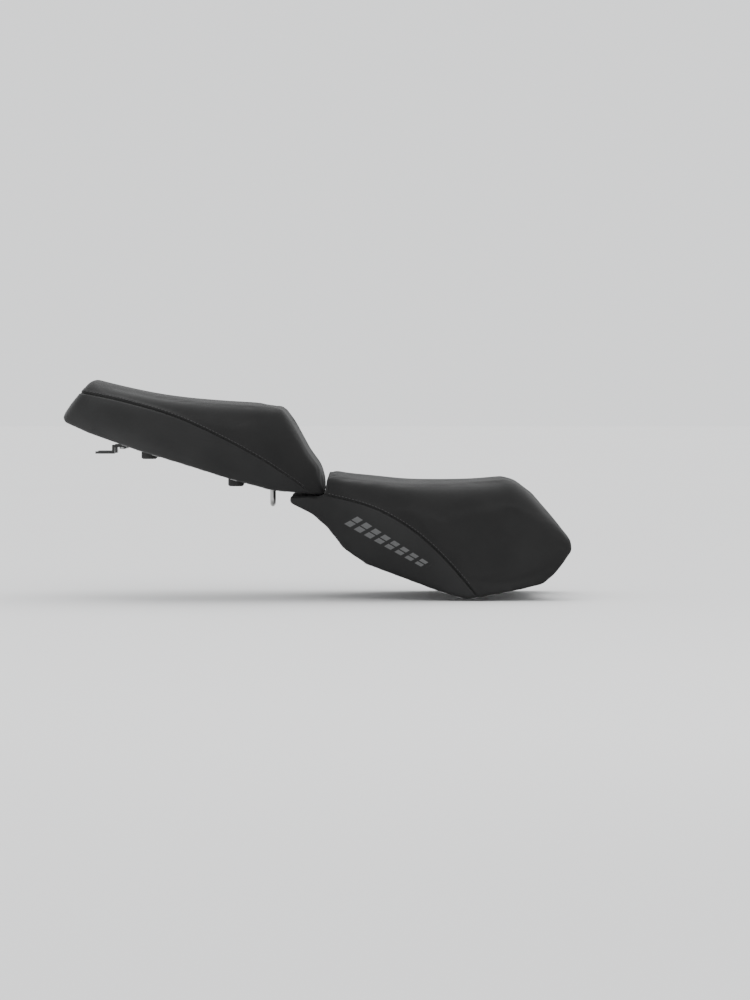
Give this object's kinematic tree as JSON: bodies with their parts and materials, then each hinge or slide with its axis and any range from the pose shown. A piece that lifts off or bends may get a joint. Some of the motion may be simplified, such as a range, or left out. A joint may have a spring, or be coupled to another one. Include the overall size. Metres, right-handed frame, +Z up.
{
  "type": "motorcycle seat",
  "caption": "Two-piece motorcycle seat: a wide scalloped rider seat under a raised passenger seat, each a sewn cover over foam on a ribbed pan with a latch striker.",
  "frame": {"origin": "middle of the rider seat's striker bar, where the motorcycle's seat lock holds it", "axes": "+X to the front of the motorcycle, +Y to the rider's left, +Z up"},
  "size_m": [0.7656, 0.335, 0.3314],
  "materials": {
    "top_fabric": "matte woven",
    "side_fabric": "matte grained",
    "foam": "open-cell foam",
    "pan_plastic": "moulded, fine grain",
    "staple_steel": "bright",
    "black_steel": "satin powder coat",
    "plated_steel": "zinc plated",
    "screw_steel": "satin",
    "rubber": "matte",
    "cam_plastic": "glass-filled nylon",
    "bail_steel": "satin"
  },
  "bodies": {
    "rider_seat": {"rider_cover_top": "top_fabric", "rider_cover_side_left": "side_fabric", "rider_cover_side_right": "side_fabric", "rider_foam": "foam", "rider_pan": "pan_plastic", "rider_staples": "staple_steel", "rider_striker_plate": "black_steel", "rider_striker_loop": "plated_steel", "rider_striker_screws": "screw_steel", "rider_buffer_front_left": "rubber", "rider_buffer_front_right": "rubber", "rider_buffer_rear_left": "rubber", "rider_buffer_rear_right": "rubber", "front_hook_left": "black_steel", "front_hook_right": "black_steel", "front_hook_screws": "screw_steel"},
    "front_height_cam": {"cam_shaft": "plated_steel", "height_cam_left": "cam_plastic", "height_cam_right": "cam_plastic", "cam_lever": "cam_plastic", "cam_clips": "plated_steel"},
    "rear_height_bail": {"bail_wire": "bail_steel", "bail_sleeve_left": "rubber", "bail_sleeve_right": "rubber"},
    "passenger_seat": {"passenger_cover_top": "top_fabric", "passenger_cover_side_left": "side_fabric", "passenger_cover_side_right": "side_fabric", "passenger_foam": "foam", "passenger_pan": "pan_plastic", "passenger_staples": "staple_steel", "passenger_striker_plate": "black_steel", "passenger_striker_loop": "plated_steel", "passenger_striker_screws": "screw_steel", "passenger_buffer_front_left": "rubber", "passenger_buffer_front_right": "rubber", "passenger_buffer_rear_left": "rubber", "passenger_buffer_rear_right": "rubber", "rear_tongue_left": "black_steel", "rear_tongue_right": "black_steel", "rear_tongue_screws": "screw_steel"}
  },
  "joints": [
    {"name": "front_height_turn", "type": "hinge", "parent": "rider_seat", "child": "front_height_cam", "pos_m": [0.15, 0, -0.03], "axis": [0, 1, 0], "range_deg": [0, 90]},
    {"name": "rear_height_fold", "type": "hinge", "parent": "rider_seat", "child": "rear_height_bail", "pos_m": [0.052, 0, -0.004], "axis": [0, 1, 0], "range_deg": [0, 90]},
    {"name": "passenger_lift", "type": "hinge", "parent": "rider_seat", "child": "passenger_seat", "pos_m": [-0.384, 0, 0.141], "axis": [0, -1, 0], "range_deg": [0, 50]}
  ]
}
